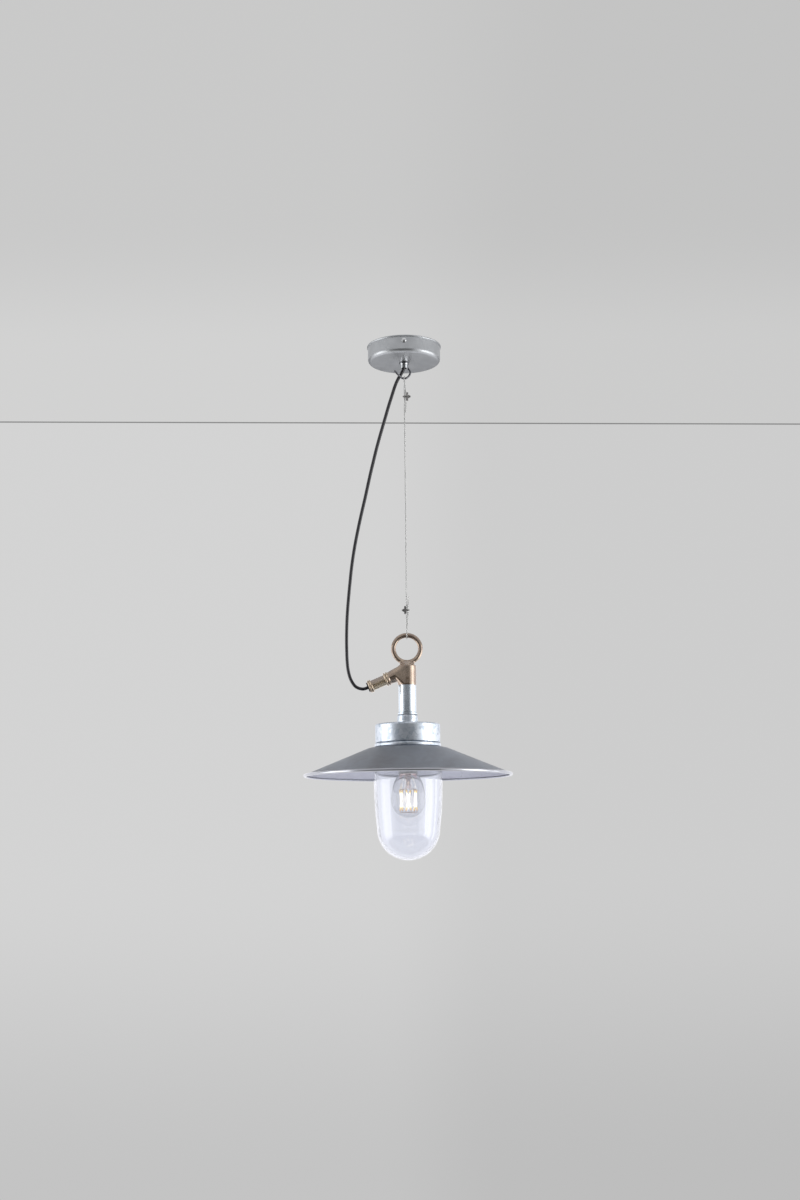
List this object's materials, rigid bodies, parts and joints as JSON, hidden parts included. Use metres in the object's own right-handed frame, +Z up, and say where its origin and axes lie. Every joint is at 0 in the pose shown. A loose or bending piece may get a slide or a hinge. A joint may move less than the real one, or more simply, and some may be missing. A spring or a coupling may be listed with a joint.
{
  "type": "pendant light",
  "caption": "Well glass pendant lamp with a shallow metal visor, hung from a ceiling rose by a wire rope, with its flex hanging beside it.",
  "frame": {"origin": "on the ceiling, at the centre of the rose", "axes": "+Z up through the rose, the lamp hangs along -Z, the cable gland points to -X, and the camera of the picture looks along +Y"},
  "size_m": [0.29, 0.29, 0.7125],
  "materials": {
    "strap_steel": "satin zinc plate",
    "rose_zinc": "satin zinc",
    "bright_steel": "bright plate",
    "dark_steel": "dull steel",
    "terminal_plastic": "matt ivory",
    "new_brass": "clean brass",
    "flex_black": "smooth black sheath",
    "live_brown": "smooth",
    "neutral_blue": "smooth",
    "earth_green": "smooth green with yellow",
    "wire_rope": "stranded steel",
    "clip_zinc": "zinc plate",
    "aged_brass": "aged cast brass",
    "black_rubber": "matt rubber",
    "galvanised_tube": "bright galvanised",
    "galvanised_cast": "galvanised casting",
    "galvanised_sheet": "weathered galvanised sheet",
    "holder_black": "moulded phenolic",
    "holder_zinc": "zinc plate",
    "clear_glass": "clear pressed glass",
    "bulb_glass": "clear blown glass",
    "cap_nickel": "nickel plate",
    "cap_insulator": "black glass",
    "filament_glow": "glowing phosphor",
    "stem_wire": "oxidised wire"
  },
  "bodies": {
    "ceiling_rose": {"mounting_strap": "strap_steel", "rose_cup": "rose_zinc", "rose_screws": "bright_steel", "flex_nipple": "bright_steel", "nipple_washer": "dark_steel", "nipple_nut": "strap_steel", "hook": "dark_steel", "hook_nut": "strap_steel", "terminal_block": "terminal_plastic", "terminal_sleeves": "new_brass", "terminal_screws": "new_brass", "earth_screw": "new_brass", "rose_flex": "flex_black", "rose_live_core": "live_brown", "rose_neutral_core": "neutral_blue", "rose_earth_core": "earth_green"},
    "suspension": {"suspension_wire": "wire_rope", "upper_clip_saddle": "clip_zinc", "upper_clip_bow": "clip_zinc", "upper_clip_nuts": "clip_zinc", "lower_clip_saddle": "clip_zinc", "lower_clip_bow": "clip_zinc", "lower_clip_nuts": "clip_zinc", "flex": "flex_black"},
    "lamp": {"eye_tee": "aged_brass", "gland_body": "aged_brass", "stem_tube": "galvanised_tube", "stem_locknut": "galvanised_tube", "gallery": "galvanised_cast", "visor_collar": "galvanised_cast", "visor": "galvanised_sheet", "visor_lock_ring": "strap_steel", "gland_flex": "flex_black", "lamp_live_core": "live_brown", "lamp_neutral_core": "neutral_blue", "lamp_earth_core": "earth_green", "holder_nipple": "strap_steel", "holder_nut": "strap_steel", "holder_cover": "holder_black", "holder_skirt": "holder_black", "holder_shell": "new_brass", "holder_contact": "new_brass", "holder_screws": "holder_zinc"},
    "gland_seal": {"gland_seal": "black_rubber"},
    "gland_nut": {"gland_nut": "aged_brass"},
    "glass_gasket": {"glass_gasket": "black_rubber"},
    "well_glass": {"well_glass": "clear_glass"},
    "bulb": {"bulb_globe": "bulb_glass", "bulb_cap": "cap_nickel", "bulb_cap_glass": "cap_insulator", "bulb_contact": "bright_steel", "bulb_stem": "bulb_glass", "bulb_wires": "stem_wire", "bulb_filaments": "filament_glow"}
  },
  "joints": [
    {"name": "wire_swing", "type": "hinge", "parent": "ceiling_rose", "child": "suspension", "pos_m": [0, 0, -0.044], "axis": [1, 0, 0], "range_deg": [-30, 30], "deforming": ["flex"]},
    {"name": "lamp_tilt", "type": "hinge", "parent": "suspension", "child": "lamp", "pos_m": [0, 0, -0.41915], "axis": [0, 1, 0], "range_deg": [-25, 25], "deforming": ["flex"]},
    {"name": "gland_travel", "type": "slide", "parent": "lamp", "child": "gland_seal", "axis": [-0.9205, 0, -0.3907], "range_m": [0, 0.00376]},
    {"name": "gland_turn", "type": "hinge", "parent": "gland_seal", "child": "gland_nut", "pos_m": [0, 0, -0.449], "axis": [-0.9205, 0, -0.3907], "range_deg": [0, 900]},
    {"name": "glass_drop", "type": "slide", "parent": "lamp", "child": "glass_gasket", "axis": [0, 0, -1], "range_m": [0, 0.01002]},
    {"name": "glass_turn", "type": "hinge", "parent": "glass_gasket", "child": "well_glass", "pos_m": [0, 0, -0.56], "axis": [0, 0, -1], "range_deg": [0, 900]},
    {"name": "bulb_draw", "type": "slide", "parent": "lamp", "child": "bulb", "axis": [0, 0, -1], "range_m": [0, 0.024]}
  ],
  "couplings": [
    {"joint": "gland_travel", "follows": "gland_turn", "m_per_rad": 0.00023873},
    {"joint": "glass_drop", "follows": "glass_turn", "m_per_rad": 0.00063662}
  ]
}
